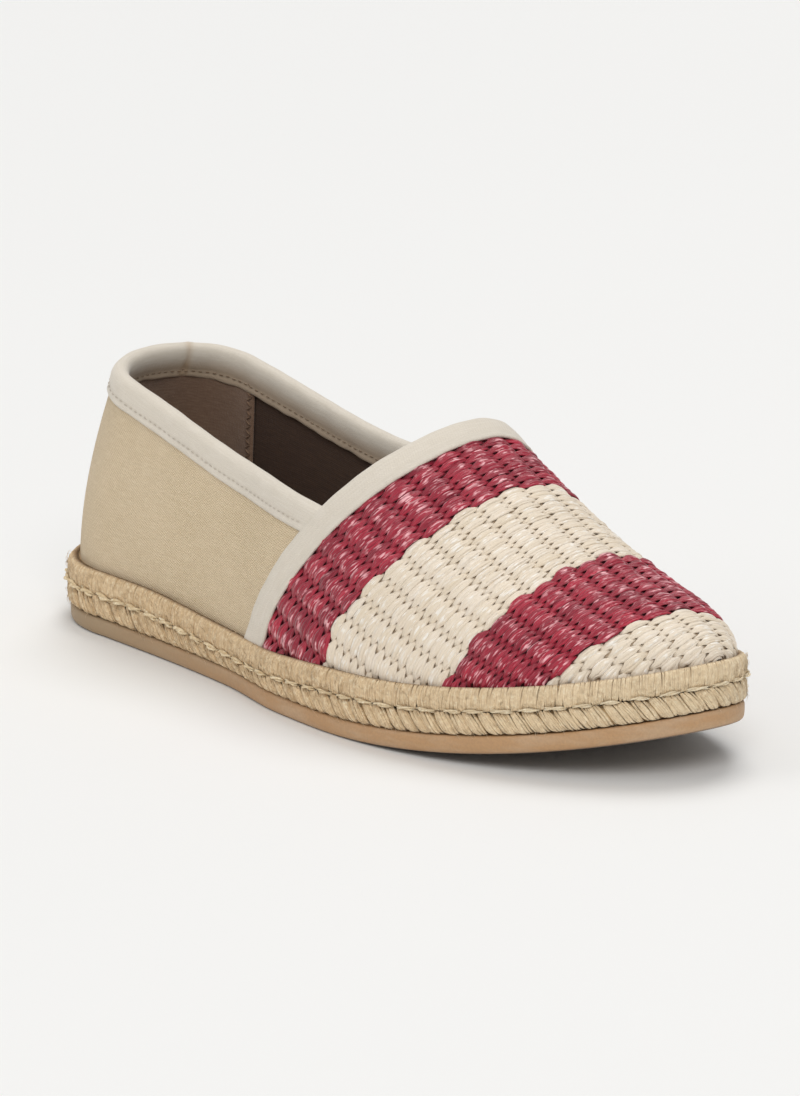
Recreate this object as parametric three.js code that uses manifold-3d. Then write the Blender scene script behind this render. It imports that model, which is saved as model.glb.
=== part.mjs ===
// A right-foot slip-on espadrille: rubber outsole, two-band jute sole, insole, and one hollow
// fabric upper with a folded tape round the collar and another along the vamp edge.
// Millimetres, +X from heel to toe, +Y to the wearer's left (the inner side), +Z up, floor at z = 0.

import * as THREE from 'three';
import { mergeVertices } from 'three/addons/utils/BufferGeometryUtils.js';
import Module from 'manifold-3d';

const wasm = await Module();
wasm.setup();

// ---- Driving dimensions -------------------------------------------------------------------

const SHOE_LENGTH = 252;
const OUTSOLE_THICKNESS = 5.2;
const LOWER_BAND_HEIGHT = 6.2;
const UPPER_BAND_HEIGHT = 6.5;
const GAP = 0.3;
const FLAT_FRACTION = 0.58;
const TOE_SPRING = 14;
const SPRING_POWER = 2;

const FEATHER_INSET = 3.3;
const UPPER_WALL = 2;
const INSOLE_THICKNESS = 2.6;
const HEEL_LEAN = 16.5;
const LEAN_HEIGHT = 62;
const LEAN_REACH = 0.25;
const LEAN_POWER = 1.55;

const TAPE_THICKNESS = 0.9;
const COLLAR_TAPE_WIDTH = 8;
const VAMP_TAPE_WIDTH = 7.8;

// Half widths of the sole outline at stations along the shoe, as a fraction of its length.
const SOLE_STATIONS = [
  { along: 0.13, outer: 28.7, inner: 28.7 },
  { along: 0.25, outer: 31.3, inner: 29.4 },
  { along: 0.38, outer: 35.6, inner: 30.2 },
  { along: 0.50, outer: 42.8, inner: 33.9 },
  { along: 0.62, outer: 45.4, inner: 41.0 },
  { along: 0.68, outer: 45.4, inner: 41.0 },
];
const HEEL_END = 0.13;
const BALL = 0.62;
const HEEL_ROUNDNESS = 2.2;
const TOE_ROUNDNESS = 2.24;
const TOE_FULLNESS = 1.9;
const TOE_TIP_OFFSET = 8.9;
const TOE_TIP_POWER = 1.6;

// Height of the last's ridge above the feather line. Behind the throat it is the height that
// sets how upright the quarters stand.
const RIDGE_STATIONS = [
  { along: 0.13, height: 133 },
  { along: 0.40, height: 92 },
  { along: 0.50, height: 75.5 },
  { along: 0.60, height: 61.5 },
  { along: 0.70, height: 46.5 },
  { along: 0.80, height: 32 },
  { along: 0.88, height: 22 },
  { along: 0.94, height: 16.3 },
  { along: 1.00, height: 13.5 },
];
const RIDGE_TO_INNER_SIDE = 7.5;
const TOE_CAP_LENGTH = 25;
const SECTION_CROWN = 1.05;

// The collar line and the vamp's back edge, as seen from the side.
const COLLAR_LINE = [
  { x: -30, z: 84.6 },
  { x: 18, z: 77.4 },
  { x: 50, z: 70.9 },
  { x: 90, z: 62.3 },
  { x: 133, z: 56.8 },
  { x: 190, z: 47.6 },
];
const VAMP_EDGE = [
  { x: 110, z: -6 },
  { x: 111.5, z: 12 },
  { x: 114, z: 20 },
  { x: 121, z: 35 },
  { x: 128.5, z: 48 },
  { x: 136, z: 59 },
  { x: 142.3, z: 66 },
  { x: 147.2, z: 72 },
  { x: 150.2, z: 78 },
  { x: 153, z: 90 },
  { x: 154, z: 120 },
];
const VAMP_EDGE_SKEW = 0.1;

// Edge profiles of the sole pieces: how far in from the outline each level lies.
const OUTSOLE_EDGE = [
  { level: 0, inset: 2.0 },
  { level: 0.16, inset: 1.1 },
  { level: 0.8, inset: 0.8 },
  { level: 1, inset: 1.2 },
];
const BAND_EDGE = [
  { level: 0, inset: 1.3 },
  { level: 0.2, inset: 0.45 },
  { level: 0.5, inset: 0.1 },
  { level: 0.8, inset: 0.45 },
  { level: 1, inset: 1.3 },
];
const FOXING_EDGE = [
  { level: 0, inset: 1.2 },
  { level: 0.2, inset: 0.3 },
  { level: 0.5, inset: 0 },
  { level: 0.78, inset: 0.5 },
  { level: 0.94, inset: 1.6 },
  { level: 1, inset: 2.8 },
];

const LENGTH_STEPS = 38;
const SECTION_STEPS = 12;
const SIDE_STEPS = 18;

const lowerBandBottom = OUTSOLE_THICKNESS + GAP;
const lowerBandTop = lowerBandBottom + LOWER_BAND_HEIGHT;
const upperBottom = lowerBandTop + GAP;
const soleTop = upperBottom + UPPER_BAND_HEIGHT;

// ---- Curves from the tables ---------------------------------------------------------------

// A smooth curve through a table of rows, with no overshoot between them.
function curveThrough(rows, input, output) {
  const step = rows.slice(1).map((row, i) => row[input] - rows[i][input]);
  const slope = step.map((width, i) => (rows[i + 1][output] - rows[i][output]) / width);
  const tangent = rows.map((row, i) => {
    if (i === 0) return slope[0];
    if (i === rows.length - 1) return slope[i - 1];
    if (slope[i - 1] * slope[i] <= 0) return 0;
    const before = 2 * step[i] + step[i - 1];
    const after = step[i] + 2 * step[i - 1];
    return (before + after) / (before / slope[i - 1] + after / slope[i]);
  });
  return (value) => {
    let i = 0;
    while (i < rows.length - 2 && value > rows[i + 1][input]) i += 1;
    const t = THREE.MathUtils.clamp((value - rows[i][input]) / step[i], 0, 1);
    const rise = rows[i + 1][output] - rows[i][output];
    return rows[i][output] + step[i] * tangent[i] * t * (1 - t) ** 2
      + rise * t * t * (3 - 2 * t) - step[i] * tangent[i + 1] * t * t * (1 - t);
  };
}

const outerWidth = curveThrough(SOLE_STATIONS, 'along', 'outer');
const innerWidth = curveThrough(SOLE_STATIONS, 'along', 'inner');
const ridgeHeight = curveThrough(RIDGE_STATIONS, 'along', 'height');

const fraction = (value, from, to) => THREE.MathUtils.clamp((value - from) / (to - from), 0, 1);

// How far the sole lifts off the floor at x.
function springAt(x) {
  return TOE_SPRING * fraction(x, FLAT_FRACTION * SHOE_LENGTH, SHOE_LENGTH) ** SPRING_POWER;
}

// The sole outline drawn in by an inset. Side is -1 on the outer edge and +1 on the inner one.
function outlinePoint(along, side, inset) {
  const forward = fraction(along, BALL, 1);
  const back = fraction(HEEL_END - along, 0, HEEL_END);
  const width = (side < 0 ? outerWidth(along) : innerWidth(along)) - inset;
  const toeCap = Math.max(0, 1 - forward ** TOE_ROUNDNESS) ** (1 / TOE_FULLNESS);
  const heelCap = Math.sqrt(Math.max(0, 1 - back ** HEEL_ROUNDNESS));
  const x = inset + along * (SHOE_LENGTH - 2 * inset);
  const y = side * width * toeCap * heelCap + TOE_TIP_OFFSET * forward ** TOE_TIP_POWER;
  return { x, y };
}

// Where the ridge of the last runs, as seen from above.
function ridgeOffset(along) {
  const toTip = TOE_TIP_OFFSET * fraction(along, 0.3, 1) ** 1.3;
  return toTip + RIDGE_TO_INNER_SIDE * fraction(1 - along, 0, 0.5) * fraction(along, 0, 0.3);
}

// A point on the last's surface, grown outwards by an offset. Each section runs from the
// feather line at angle 0 up to the ridge at a quarter turn, and the heel's sections fan round.
function lastPoint(along, side, angle, grow) {
  const inset = FEATHER_INSET - grow;
  const foot = outlinePoint(along, side, inset);
  const centre = Math.max(along, HEEL_END);
  const centreX = inset + centre * (SHOE_LENGTH - 2 * inset);
  const centreY = ridgeOffset(centre);
  const toeRound = Math.sqrt(1 - (1 - fraction((1 - along) * SHOE_LENGTH, 0, TOE_CAP_LENGTH)) ** 2);
  const rise = (ridgeHeight(centre) + grow) * toeRound * Math.sin(angle) ** SECTION_CROWN;
  const reach = Math.cos(angle);
  const leanShare = Math.min(rise / LEAN_HEIGHT, 1.2) ** LEAN_POWER * (1 - fraction(along, 0, LEAN_REACH));
  return new THREE.Vector3(
    centreX + (foot.x - centreX) * reach + HEEL_LEAN * leanShare,
    centreY + (foot.y - centreY) * reach,
    soleTop + springAt(centreX) + rise,
  );
}

// ---- Closed solids ------------------------------------------------------------------------

const alongSteps = Array.from(
  { length: LENGTH_STEPS + 1 },
  (_, i) => (1 - Math.cos((Math.PI * i) / LENGTH_STEPS)) / 2,
);

// Turns triangles of corner points into a solid, welding the corners that coincide.
function solidFrom(triangles) {
  const soup = new THREE.BufferGeometry();
  const corners = triangles.flat().flatMap((p) => [p.x, p.y, p.z]);
  soup.setAttribute('position', new THREE.Float32BufferAttribute(corners, 3));
  const welded = mergeVertices(soup, 1e-3);
  const index = welded.index.array;
  const faces = [];
  for (let i = 0; i < index.length; i += 3) {
    const [a, b, c] = [index[i], index[i + 1], index[i + 2]];
    if (a !== b && b !== c && c !== a) faces.push(a, b, c);
  }
  return new wasm.Manifold(new wasm.Mesh({
    numProp: 3,
    vertProperties: new Float32Array(welded.attributes.position.array),
    triVerts: new Uint32Array(faces),
  }));
}

// Joins levels into a solid. A level gives the point at each station on either side.
function solidFromLevels(levels, closedByRidge) {
  const triangles = [];
  const quad = (a, b, c, d) => triangles.push([a, b, c], [a, c, d]);
  for (let i = 0; i < LENGTH_STEPS; i += 1) {
    const [near, far] = [alongSteps[i], alongSteps[i + 1]];
    for (let k = 0; k < levels.length - 1; k += 1) {
      const [low, high] = [levels[k], levels[k + 1]];
      quad(low(near, -1), low(far, -1), high(far, -1), high(near, -1));
      quad(low(far, 1), low(near, 1), high(near, 1), high(far, 1));
    }
    const bottom = levels[0];
    quad(bottom(near, 1), bottom(far, 1), bottom(far, -1), bottom(near, -1));
    if (!closedByRidge) {
      const top = levels[levels.length - 1];
      quad(top(near, -1), top(far, -1), top(far, 1), top(near, 1));
    }
  }
  return solidFrom(triangles);
}

// A plate or band of the sole between two heights, with an edge profile.
function soleLayer(bottom, top, edge, extraInset = 0) {
  const levels = edge.map(({ level, inset }) => (along, side) => {
    const { x, y } = outlinePoint(along, side, inset + extraInset);
    return new THREE.Vector3(x, y, bottom + (top - bottom) * level + springAt(x));
  });
  return solidFromLevels(levels, false);
}

// The last as a full solid, grown by an offset and carried straight down to a floor height.
function lastForm(grow, floorHeight) {
  const skirt = (along, side) => {
    const point = lastPoint(along, side, 0, grow);
    return point.setZ(point.z - soleTop + floorHeight);
  };
  const sections = Array.from({ length: SECTION_STEPS + 1 }, (_, i) => {
    const angle = (Math.PI / 2) * (i / SECTION_STEPS) ** 1.3;
    return (along, side) => lastPoint(along, side, angle, grow);
  });
  return solidFromLevels([skirt, ...sections], true);
}

// A side-view outline carried straight across the shoe, sheared so that it can lie askew.
function acrossShoe(outline, skew) {
  const shape = new THREE.Shape(outline.map(({ x, z }) => new THREE.Vector2(x, z)));
  const slab = new THREE.ExtrudeGeometry(shape, { depth: 200, bevelEnabled: false });
  slab.deleteAttribute('normal');
  slab.deleteAttribute('uv');
  slab.rotateX(Math.PI / 2);
  slab.translate(0, 100, 0);
  slab.applyMatrix4(new THREE.Matrix4().makeShear(0, 0, skew, 0, 0, 0));
  const welded = mergeVertices(slab, 1e-4);
  return new wasm.Manifold(new wasm.Mesh({
    numProp: 3,
    vertProperties: new Float32Array(welded.attributes.position.array),
    triVerts: new Uint32Array(welded.index.array),
  }));
}

// A side-view table as an even polyline, moved sideways to its left by a distance.
function sideLine(rows, distance) {
  const points = rows.map(({ x, z }) => new THREE.Vector2(x, z));
  const spline = new THREE.SplineCurve(points);
  return Array.from({ length: SIDE_STEPS + 1 }, (_, i) => {
    const at = spline.getPoint(i / SIDE_STEPS);
    const heading = spline.getTangent(i / SIDE_STEPS);
    return { x: at.x - heading.y * distance, z: at.y + heading.x * distance };
  });
}

// Everything above the collar line raised by a distance.
function aboveCollar(distance) {
  const line = sideLine(COLLAR_LINE, distance);
  return acrossShoe([{ x: -40, z: 200 }, { x: -40, z: line[0].z }, ...line, { x: 190, z: 200 }], 0);
}

// Everything behind the vamp edge moved back by a distance.
function behindVamp(distance) {
  const line = sideLine(VAMP_EDGE, distance);
  const last = line[line.length - 1];
  return acrossShoe([{ x: -60, z: -10 }, ...line, { x: last.x, z: 220 }, { x: -60, z: 220 }],
    VAMP_EDGE_SKEW);
}

// ---- Pieces -------------------------------------------------------------------------------

const outsole = soleLayer(0, OUTSOLE_THICKNESS, OUTSOLE_EDGE);
const juteMidsole = soleLayer(lowerBandBottom, lowerBandTop, BAND_EDGE);

const foxingBlank = soleLayer(upperBottom, soleTop, FOXING_EDGE);
const juteFoxing = foxingBlank.subtract(lastForm(GAP, lowerBandBottom));

const insoleEdge = [{ level: 0, inset: 0 }, { level: 1, inset: 0 }];
const insoleInset = FEATHER_INSET + UPPER_WALL + GAP;
const insole = soleLayer(upperBottom, upperBottom + INSOLE_THICKNESS, insoleEdge, insoleInset);

const outerForm = lastForm(0, upperBottom);
const innerForm = lastForm(-UPPER_WALL, 0);
const throatAndCollar = aboveCollar(0).intersect(behindVamp(0));
const upper = outerForm.subtract(innerForm).subtract(throatAndCollar);

// The upper made thicker all round by the gap, which keeps the tapes clear of it.
const clearance = lastForm(GAP, upperBottom - 1)
  .subtract(lastForm(-UPPER_WALL - GAP, 0))
  .subtract(aboveCollar(GAP).intersect(behindVamp(GAP)));

const tapeOuterForm = lastForm(GAP + TAPE_THICKNESS, upperBottom);
const tapeInnerForm = lastForm(-UPPER_WALL - GAP - TAPE_THICKNESS, 0);
const tapeShell = tapeOuterForm.subtract(tapeInnerForm);

const collarBand = aboveCollar(-COLLAR_TAPE_WIDTH)
  .subtract(aboveCollar(GAP + TAPE_THICKNESS))
  .intersect(behindVamp(2 * GAP + TAPE_THICKNESS));
const collarBinding = tapeShell.intersect(collarBand).subtract(clearance);

// The vamp tape lies flat over the quarters low down and folds round the free edge of the throat.
const vampBand = behindVamp(-VAMP_TAPE_WIDTH);
const vampFlat = tapeOuterForm
  .intersect(vampBand)
  .subtract(behindVamp(0))
  .subtract(lastForm(GAP, 0))
  .subtract(soleLayer(-5, soleTop + GAP, insoleEdge, -20));
const vampFold = tapeShell
  .intersect(vampBand)
  .subtract(behindVamp(GAP + TAPE_THICKNESS))
  .intersect(aboveCollar(GAP))
  .subtract(clearance);
const vampBinding = vampFlat.add(vampFold);

// ---- Named meshes -------------------------------------------------------------------------

// The origin lies on the floor under the middle of the sole's outline.
const { min, max } = juteFoxing.boundingBox();
const espadrille = new THREE.Group();
espadrille.position.set(-(min[0] + max[0]) / 2, -(min[1] + max[1]) / 2, 0);

function addPiece(name, solid, colour, roughness) {
  const mesh = solid.getMesh();
  const geometry = new THREE.BufferGeometry();
  const corners = new Float32Array(mesh.vertProperties);
  geometry.setAttribute('position', new THREE.BufferAttribute(corners, 3));
  geometry.setIndex(new THREE.BufferAttribute(new Uint32Array(mesh.triVerts), 1));
  const material = new THREE.MeshStandardMaterial({ color: colour, roughness, metalness: 0 });
  const piece = new THREE.Mesh(geometry, material);
  piece.name = name;
  espadrille.add(piece);
}

addPiece('outsole', outsole, '#be9673', 0.6);
addPiece('jute_midsole', juteMidsole, '#cdb287', 0.95);
addPiece('jute_foxing', juteFoxing, '#d2b88c', 0.95);
addPiece('insole', insole, '#4a3b30', 0.9);
addPiece('upper', upper, '#d8cbb2', 0.9);
addPiece('collar_binding', collarBinding, '#ded6ca', 0.85);
addPiece('vamp_binding', vampBinding, '#ded6ca', 0.85);

export default espadrille;
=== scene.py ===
import math

import bpy
import numpy as np
from bpy.props import FloatProperty, FloatVectorProperty, PointerProperty
from mathutils import Matrix, Vector


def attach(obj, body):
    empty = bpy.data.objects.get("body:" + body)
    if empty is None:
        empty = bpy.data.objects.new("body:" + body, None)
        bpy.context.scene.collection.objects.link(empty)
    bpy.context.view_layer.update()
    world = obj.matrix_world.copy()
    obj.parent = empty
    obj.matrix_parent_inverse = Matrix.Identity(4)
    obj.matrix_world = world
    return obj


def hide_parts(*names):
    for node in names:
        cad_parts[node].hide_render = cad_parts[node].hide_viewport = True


bl_info = {
    "name": "Striped Espadrille",
    "version": (1, 0, 0),
    "blender": (4, 5, 0),
    "location": "View3D > Sidebar > Espadrille",
    "description": "Builds a right-foot woven espadrille on its packed frame",
    "category": "Object",
}

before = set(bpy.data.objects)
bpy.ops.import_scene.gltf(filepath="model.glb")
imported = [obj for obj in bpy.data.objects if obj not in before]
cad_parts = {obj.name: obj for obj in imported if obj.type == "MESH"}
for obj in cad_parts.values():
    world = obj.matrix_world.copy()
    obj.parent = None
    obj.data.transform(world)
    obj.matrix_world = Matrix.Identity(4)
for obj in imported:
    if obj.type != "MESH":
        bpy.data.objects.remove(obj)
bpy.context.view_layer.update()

# ---- The last and the sole, in millimetres from the back of the heel --------------------------

SHOE_LENGTH = 252.0
AXIS_OFFSET = 2.1445
FLAT_FRACTION = 0.58
TOE_SPRING = 14.0
FEATHER_INSET = 3.3
HEEL_END = 0.13
BALL = 0.62
HEEL_LEAN = 16.5
LEAN_HEIGHT = 62.0
LEAN_POWER = 1.55
LEAN_REACH = 0.25
TOE_CAP_LENGTH = 25.0
TOE_TIP_OFFSET = 8.9
RIDGE_TO_INNER_SIDE = 7.5
SECTION_CROWN = 1.05
# How squarely the outline rounds off: the superellipse powers of the toe and the heel, and how
# the toe's turn to the inner side grows.
TOE_FORWARD_POWER = 2.24
TOE_SIDE_POWER = 1.9
HEEL_POWER = 2.2
TOE_TURN_POWER = 1.6

WAIST_DIP = 2.5
WAIST_X = 104.0
WAIST_REACH = 54.0

LOWER_BAND = (5.5, 11.7)
UPPER_BAND = (12.0, 18.5)
SOLE_TOP = 18.5

# along, outer half width, inner half width
SOLE_WIDTHS = np.array([
    (0.13, 28.7, 28.7), (0.25, 31.3, 29.4), (0.38, 35.6, 30.2),
    (0.50, 42.8, 33.9), (0.62, 45.4, 41.0), (0.68, 45.4, 41.0),
])
# along, height of the ridge over the feather line
RIDGE_HEIGHTS = np.array([
    (0.13, 133), (0.40, 92), (0.50, 75.5), (0.60, 61.5), (0.70, 46.5),
    (0.80, 32), (0.88, 22), (0.94, 16.3), (1.00, 13.5),
])
# x, z of the top line as seen from the side
COLLAR_LINE = np.array([(-30, 84.6), (18, 77.4), (50, 70.9), (90, 62.3), (133, 56.8), (190, 47.6)])
# z, x of the vamp's back edge as seen from the side
VAMP_EDGE = np.array([
    (-6, 112), (12, 113), (20, 114.5), (35, 120.5), (48, 128.5), (59, 136),
    (66, 142.3), (72, 147.2), (78, 150.2), (90, 153), (120, 154),
])
VAMP_EDGE_SKEW = 0.1
# The way the weft lies across the vamp: x where it crosses the ridge, sideways skew, how far it
# sweeps back for each millimetre down, and how softly it turns on the ridge. The first row is
# the throat, the next three are the ends of the stripes, and the last is the tip. Over the sole
# the rows near the throat turn forward.
WEFT_LINES = np.array([
    (151.9, 0.10, 0.755, 3.0), (175.4, 0.10, 0.83, 12.0), (204.7, 0.03, 0.50, 8.0),
    (235.6, 0.20, 0.60, 4.0), (248.7, -0.02, 0.60, 4.0),
])
RIDGE_Y = 8.8
FOOT_CURL = 6.0
FOOT_CURL_HEIGHT = 17.0

WALL = 2.0
# Where the collar tape's two ends meet.
TAPE_JOIN_X = 24.0
# How far forward the quarters run, as a share of the length.
QUARTER_REACH = 0.66
# Millimetres of cloth pattern round the quarters and from the feather line up to the rim.
QUARTER_RUN = 170.0
QUARTER_RISE = 62.0


def smooth_table(rows, column):
    """A smooth curve through a table, with no overshoot between its rows."""
    x, y = rows[:, 0].astype(float), rows[:, column].astype(float)
    step = np.diff(x)
    slope = np.diff(y) / step
    tangent = np.zeros(len(x))
    tangent[0], tangent[-1] = slope[0], slope[-1]
    for i in range(1, len(x) - 1):
        if slope[i - 1] * slope[i] > 0:
            before, after = 2 * step[i] + step[i - 1], step[i] + 2 * step[i - 1]
            tangent[i] = (before + after) / (before / slope[i - 1] + after / slope[i])

    def curve(value):
        value = np.clip(value, x[0], x[-1])
        i = np.clip(np.searchsorted(x, value, side="right") - 1, 0, len(step) - 1)
        t = (value - x[i]) / step[i]
        return (y[i] + step[i] * tangent[i] * t * (1 - t) ** 2
                + (y[i + 1] - y[i]) * t * t * (3 - 2 * t)
                - step[i] * tangent[i + 1] * t * t * (1 - t))

    return curve


outer_width = smooth_table(SOLE_WIDTHS, 1)
inner_width = smooth_table(SOLE_WIDTHS, 2)
ridge_height = smooth_table(RIDGE_HEIGHTS, 1)
collar_height = smooth_table(COLLAR_LINE, 1)
vamp_edge_x = smooth_table(VAMP_EDGE, 1)


def share(value, start, end):
    return np.clip((value - start) / (end - start), 0.0, 1.0)


def ease(value):
    """Zero to one with no corner at either end."""
    value = np.clip(value, 0.0, 1.0)
    return value * value * (3 - 2 * value)


def spring_at(x):
    """How far the sole lifts off the floor at x."""
    return TOE_SPRING * share(x, FLAT_FRACTION * SHOE_LENGTH, SHOE_LENGTH) ** 2


def waist_dip(x):
    """How far the jute is pressed down at the waist of the sole."""
    return WAIST_DIP * (1 - share(np.abs(x - WAIST_X), 0, WAIST_REACH) ** 2) ** 2


def band_height(x, height):
    """The height over the floor of a level of the flat sole, at x."""
    return height + spring_at(x) - waist_dip(x) * share(height, *LOWER_BAND)


def outline_point(along, side, inset):
    """The sole's outline drawn in by an inset; side is -1 at the outer edge, +1 at the inner."""
    forward = share(along, BALL, 1)
    back = share(HEEL_END - along, 0, HEEL_END)
    width = np.where(side < 0, outer_width(along), inner_width(along)) - inset
    toe_cap = np.clip(1 - forward ** TOE_FORWARD_POWER, 0, 1) ** (1 / TOE_SIDE_POWER)
    heel_cap = np.sqrt(np.clip(1 - back ** HEEL_POWER, 0, 1))
    x = inset + along * (SHOE_LENGTH - 2 * inset)
    return x, side * width * toe_cap * heel_cap + TOE_TIP_OFFSET * forward ** TOE_TURN_POWER


def ridge_offset(along):
    """Where the ridge of the last runs, as seen from above."""
    to_tip = TOE_TIP_OFFSET * share(along, 0.3, 1) ** 1.3
    return to_tip + RIDGE_TO_INNER_SIDE * share(1 - along, 0, 0.5) * share(along, 0, 0.3)


def toe_round(along):
    return np.sqrt(1 - (1 - share((1 - along) * SHOE_LENGTH, 0, TOE_CAP_LENGTH)) ** 2)


def last_point(along, side, angle):
    """A point on the last, from the feather line at angle 0 to the ridge at a quarter turn."""
    foot_x, foot_y = outline_point(along, side, FEATHER_INSET)
    centre = np.maximum(along, HEEL_END)
    centre_x = FEATHER_INSET + centre * (SHOE_LENGTH - 2 * FEATHER_INSET)
    centre_y = ridge_offset(centre)
    rise = ridge_height(centre) * toe_round(along) * np.sin(angle) ** SECTION_CROWN
    reach = np.cos(angle)
    lean = HEEL_LEAN * np.minimum(rise / LEAN_HEIGHT, 1.2) ** LEAN_POWER
    lean = lean * (1 - share(along, 0, LEAN_REACH))
    return np.stack([
        centre_x + (foot_x - centre_x) * reach + lean,
        centre_y + (foot_y - centre_y) * reach,
        SOLE_TOP + spring_at(centre_x) + rise - waist_dip(centre_x) * (1 - np.sin(angle)) ** 2,
    ], axis=-1)


def halve(test, low, high, rounds=36):
    """Where a rising test crosses zero between two bounds, for whole arrays at once."""
    for _ in range(rounds):
        middle = (low + high) / 2
        above = test(middle) > 0
        low, high = np.where(above, low, middle), np.where(above, middle, high)
    return (low + high) / 2


def run_lengths(points):
    """The distance run from the first point of a line to each of its points."""
    return np.concatenate([[0.0], np.cumsum(np.linalg.norm(np.diff(points, axis=0), axis=1))])


def at_distances(points, run, wanted):
    return np.stack([np.interp(wanted, run, points[:, k]) for k in range(3)], axis=-1)


class Sheet:
    """A curved surface kept as a table of points over two distances, with outward normals."""

    def __init__(self, first, second, points):
        self.first, self.second, self.points = first, second, points
        ahead, aside = np.gradient(points, axis=0), np.gradient(points, axis=1)
        normal = np.cross(ahead, aside)
        self.normals = normal / np.maximum(np.linalg.norm(normal, axis=-1, keepdims=True), 1e-9)

    def at(self, first, second, lift=0.0):
        i, s = self._cell(self.first, first)
        j, t = self._cell(self.second, second)
        s, t = s[:, None], t[:, None]

        def blend(table):
            near = table[i, j] * (1 - t) + table[i, j + 1] * t
            far = table[i + 1, j] * (1 - t) + table[i + 1, j + 1] * t
            return near * (1 - s) + far * s

        normal = blend(self.normals)
        normal /= np.maximum(np.linalg.norm(normal, axis=1, keepdims=True), 1e-9)
        return blend(self.points) + normal * np.broadcast_to(lift, first.shape)[:, None]

    @staticmethod
    def _cell(steps, value):
        place = (value - steps[0]) / (steps[1] - steps[0])
        index = np.clip(np.floor(place).astype(int), 0, len(steps) - 2)
        return index, np.clip(place - index, -1.0, 2.0)


def make_vamp_sheet():
    """The vamp over distance ahead of the throat on the ridge, and distance round from it."""
    ridge_x = np.linspace(144.0, 248.69, 900)
    along = (ridge_x - FEATHER_INSET) / (SHOE_LENGTH - 2 * FEATHER_INSET)
    ridge_z = SOLE_TOP + spring_at(ridge_x) + ridge_height(along) * toe_round(along)
    ridge_run = np.concatenate([[0], np.cumsum(np.hypot(np.diff(ridge_x), np.diff(ridge_z)))])
    ridge_run -= np.interp(WEFT_LINES[0, 0], ridge_x, ridge_run)
    stripe_ends = np.interp(WEFT_LINES[1:4, 0], ridge_x, ridge_run)
    ahead = np.arange(-5.0, ridge_run[-1], 0.75)
    cross_x = np.interp(ahead, ridge_run, ridge_x)[:, None]
    cross_z = np.interp(ahead, ridge_run, ridge_z)[:, None]
    skew, sweep, turn = (np.interp(cross_x, WEFT_LINES[:, 0], WEFT_LINES[:, k]) for k in (1, 2, 3))
    angle = np.linspace(np.pi / 2, 0, 70)[None, :]
    round_steps = np.arange(-126.0, 126.01, 1.0)
    points = np.zeros((len(ahead), len(round_steps), 3))
    girths = {}
    for side in (-1, 1):
        def past_line(station):
            p = last_point(station, side, angle)
            down = np.maximum(cross_z - p[..., 2], 0)
            line_x = cross_x - sweep * (np.sqrt(down ** 2 + turn ** 2) - turn)
            low = 1 - share(p[..., 2] - SOLE_TOP - spring_at(p[..., 0]), 0, FOOT_CURL_HEIGHT)
            curl = FOOT_CURL * np.interp(cross_x, (152, 176, 205), (0.35, 1, 0))
            line_x = line_x + curl * low ** 2
            return p[..., 0] - skew * (p[..., 1] - RIDGE_Y) - line_x

        shape = (len(ahead), angle.shape[1])
        station = halve(past_line, np.full(shape, 0.36), np.full(shape, 1.0))
        lines = last_point(station, side, angle)
        wanted = np.abs(round_steps[round_steps * side >= 0])
        girth = np.zeros(len(ahead))
        for i, line in enumerate(lines):
            run = run_lengths(line)
            girth[i] = run[-1]
            row = at_distances(line, run, wanted)
            row[:, 2] -= np.maximum(wanted - run[-1], 0)
            points[i, round_steps * side >= 0] = row
        girths[side] = girth
    return Sheet(ahead, round_steps, points), girths, stripe_ends


vamp_sheet, vamp_girths, STRIPE_ENDS = make_vamp_sheet()


def vamp_half_girth(ahead, side):
    return np.interp(ahead, vamp_sheet.first, vamp_girths[side])


def across_vamp(ahead, around, past):
    """Distance round from the ridge, from side to side of the vamp and some way past each foot."""
    outer, inner = vamp_half_girth(ahead, -1) + past, vamp_half_girth(ahead, 1) + past
    return -outer + around * (outer + inner)


def station_from(place):
    """Along and side for a place from -1, far forward outside, round the heel, to 1 inside."""
    side = np.where(place < 0, -1, 1)
    return QUARTER_REACH * place * place, side


def rim_angle(along, side):
    """The angle at which each section of the last reaches the top line."""
    def above(angle):
        p = last_point(along, side, angle)
        return p[..., 2] - collar_height(p[..., 0])

    return halve(above, np.zeros_like(along), np.full_like(along, np.pi / 2))


def make_collar_sheet():
    """The quarters over distance along the rim from the heel, and distance below the rim."""
    places = np.linspace(-1, 1, 241)
    along, side = station_from(places)
    rim = rim_angle(along, side)
    down = np.arange(-5.0, 30.01, 1.0)
    columns = []
    for a, s, top in zip(along, side, rim):
        high = min(top + 0.22, np.pi / 2)
        angles = np.linspace(high, 0, 90)
        line = last_point(np.full(90, a), np.full(90, s), angles)
        run = run_lengths(line)
        run -= np.interp(-top, -angles, run)
        columns.append(at_distances(line, run, down))
    columns = np.array(columns)
    rim_line = columns[:, 5]
    run = run_lengths(rim_line)
    run -= run[len(run) // 2]
    even = np.arange(math.ceil(run[0]), run[-1], 1.5)
    table = np.stack([at_distances(columns[:, k], run, even) for k in range(len(down))], axis=1)
    return Sheet(even, down, table)


collar_sheet = make_collar_sheet()


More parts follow.
